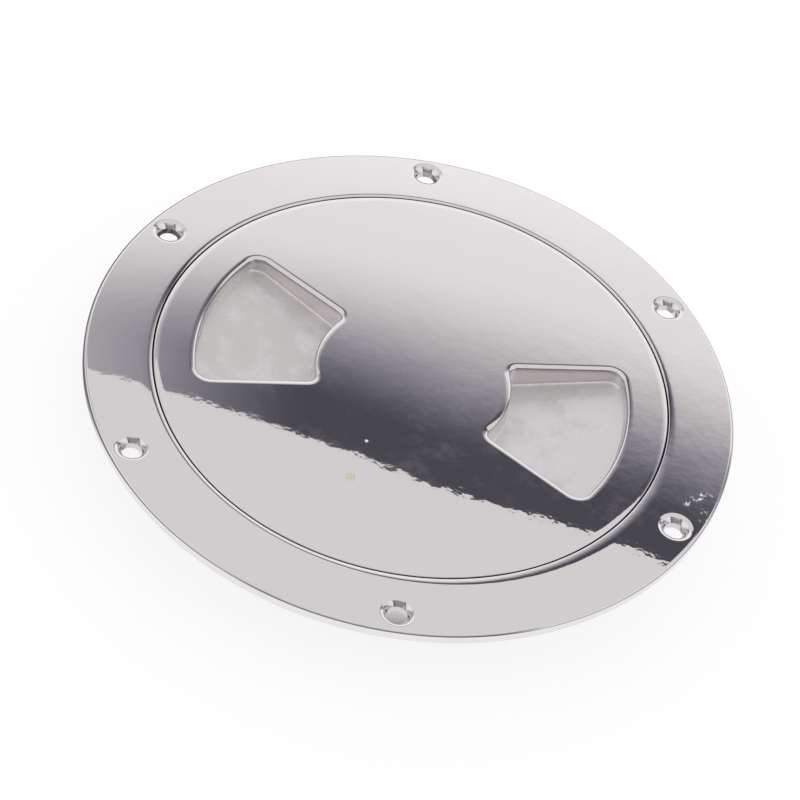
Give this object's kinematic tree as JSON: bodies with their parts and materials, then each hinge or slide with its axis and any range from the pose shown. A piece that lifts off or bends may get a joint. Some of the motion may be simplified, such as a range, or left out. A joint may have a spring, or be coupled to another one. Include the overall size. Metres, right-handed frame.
{
  "type": "deck inspection plate",
  "caption": "Round flush deck inspection plate of polished cast steel: countersunk flange ring, O-ring, and a screw-in lid with finger pockets.",
  "frame": {"origin": "centre of the screw circle, on the underside of the flange where it lies on the deck", "axes": "+Z out of the deck along the axis of the thread, +Y through one screw hole"},
  "size_m": [0.143, 0.143, 0.0168],
  "materials": {
    "ring_steel": "mirror-polished cast stainless steel",
    "lid_steel": "mirror-polished cast stainless steel, satin in the finger pockets",
    "seal_rubber": "smooth black rubber"
  },
  "bodies": {
    "ring": {"deck_ring": "ring_steel"},
    "seal": {"lid_o_ring": "seal_rubber"},
    "lid": {"lid": "lid_steel"}
  },
  "joints": [
    {"name": "lid_rise", "type": "slide", "parent": "ring", "child": "seal", "axis": [0, 0, 1], "range_m": [0, 0.016]},
    {"name": "lid_turn", "type": "hinge", "parent": "seal", "child": "lid", "pos_m": [0, 0, 0], "axis": [0, 0, 1], "range_deg": [0, 1440]}
  ],
  "couplings": [
    {"joint": "lid_rise", "follows": "lid_turn", "m_per_rad": 0.00063662}
  ]
}
